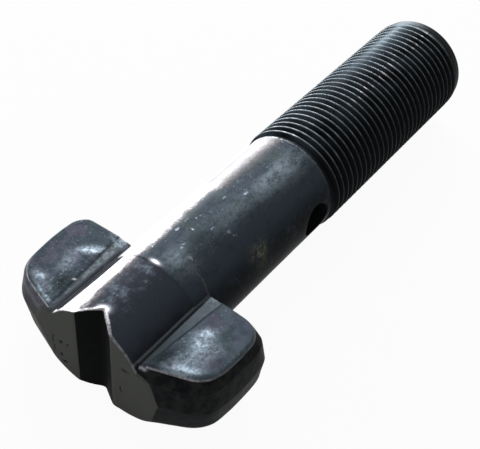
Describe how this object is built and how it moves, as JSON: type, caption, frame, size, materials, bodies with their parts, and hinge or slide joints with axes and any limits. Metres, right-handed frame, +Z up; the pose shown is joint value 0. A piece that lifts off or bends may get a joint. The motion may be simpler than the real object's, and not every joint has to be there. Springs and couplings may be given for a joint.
{
  "type": "wheel bolt",
  "caption": "T-head wheel bolt with a drafted forged head, V-notched end face, plain shank with a cross hole for a locking pin, and a fine-threaded end.",
  "frame": {"origin": "on the bolt's axis, in the plane of the head's shoulder", "axes": "+X along the axis from the shoulder to the thread end; the head's lugs reach out along Y; +Z is up as the bolt lies on a flat surface, with the lug undersides facing down"},
  "size_m": [0.098, 0.041, 0.02],
  "materials": {
    "black_steel": "black oxide on forged steel, satin, worn bright along the edges"
  },
  "bodies": {
    "root": {"wheel_bolt": "black_steel"}
  },
  "joints": []
}
